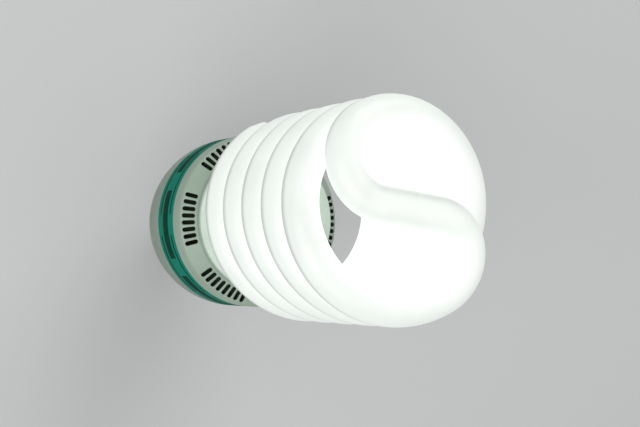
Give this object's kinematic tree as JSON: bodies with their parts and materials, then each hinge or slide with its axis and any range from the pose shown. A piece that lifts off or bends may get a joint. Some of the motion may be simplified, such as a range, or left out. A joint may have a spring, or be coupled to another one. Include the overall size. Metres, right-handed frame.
{
  "type": "compact fluorescent bulb",
  "caption": "Compact fluorescent bulb: white spiral glass tube with an S-shaped crown, on a vented white housing with a teal band and a screw cap.",
  "frame": {"origin": "lowest point of the centre contact, on the bulb's axis", "axes": "+Z along the bulb's axis, from the screw cap to the crown of the spiral; X through the two legs of the tube"},
  "size_m": [0.1064, 0.1064, 0.2835],
  "materials": {
    "phosphor_glass": "glossy white, powder-coated on the inside",
    "tube_cement": "matt white cement",
    "housing_plastic": "white moulding, soft gloss",
    "band_print": "teal printed film",
    "cap_sheet": "rolled sheet, satin",
    "cap_glass": "black moulded glass",
    "solder": "dull solder",
    "board_laminate": "brown paper laminate",
    "can_sleeve": "shrunk black sleeve",
    "ferrite": "dark sintered ferrite",
    "bobbin_plastic": "black moulding",
    "copper_wire": "enamelled copper",
    "epoxy": "black epoxy",
    "sink_metal": "plain sheet",
    "film_box": "dipped red film capacitor",
    "resistor_body": "tan lacquer",
    "fuse_body": "white ceramic",
    "diode_glass": "blue glass",
    "thermistor_body": "green lacquer",
    "pin_metal": "plain brass",
    "lead_metal": "tinned wire",
    "wire_cover": "pale silicone cover"
  },
  "bodies": {
    "root": {"spiral_tube": "phosphor_glass", "tube_cement": "tube_cement", "upper_cover": "housing_plastic", "lower_housing": "housing_plastic", "colour_band": "band_print", "screw_shell": "cap_sheet", "cap_insulator": "cap_glass", "centre_contact": "solder", "ballast_board": "board_laminate", "lamp_pins": "pin_metal", "tube_leads": "lead_metal", "line_wire": "wire_cover", "neutral_wire": "wire_cover", "bulk_capacitor_1": "can_sleeve", "bulk_capacitor_2": "can_sleeve", "choke_core": "ferrite", "choke_bobbin": "bobbin_plastic", "choke_winding": "copper_wire", "drive_core": "ferrite", "drive_windings": "copper_wire", "filter_core": "ferrite", "filter_winding": "copper_wire", "power_transistor_1": "epoxy", "power_transistor_2": "epoxy", "heat_sink_1": "sink_metal", "heat_sink_2": "sink_metal", "resonant_capacitor": "film_box", "coupling_capacitor": "film_box", "rectifier_diodes": "epoxy", "resistors": "resistor_body", "fuse": "fuse_body", "trigger_diode": "diode_glass", "thermistor": "thermistor_body"}
  },
  "joints": []
}
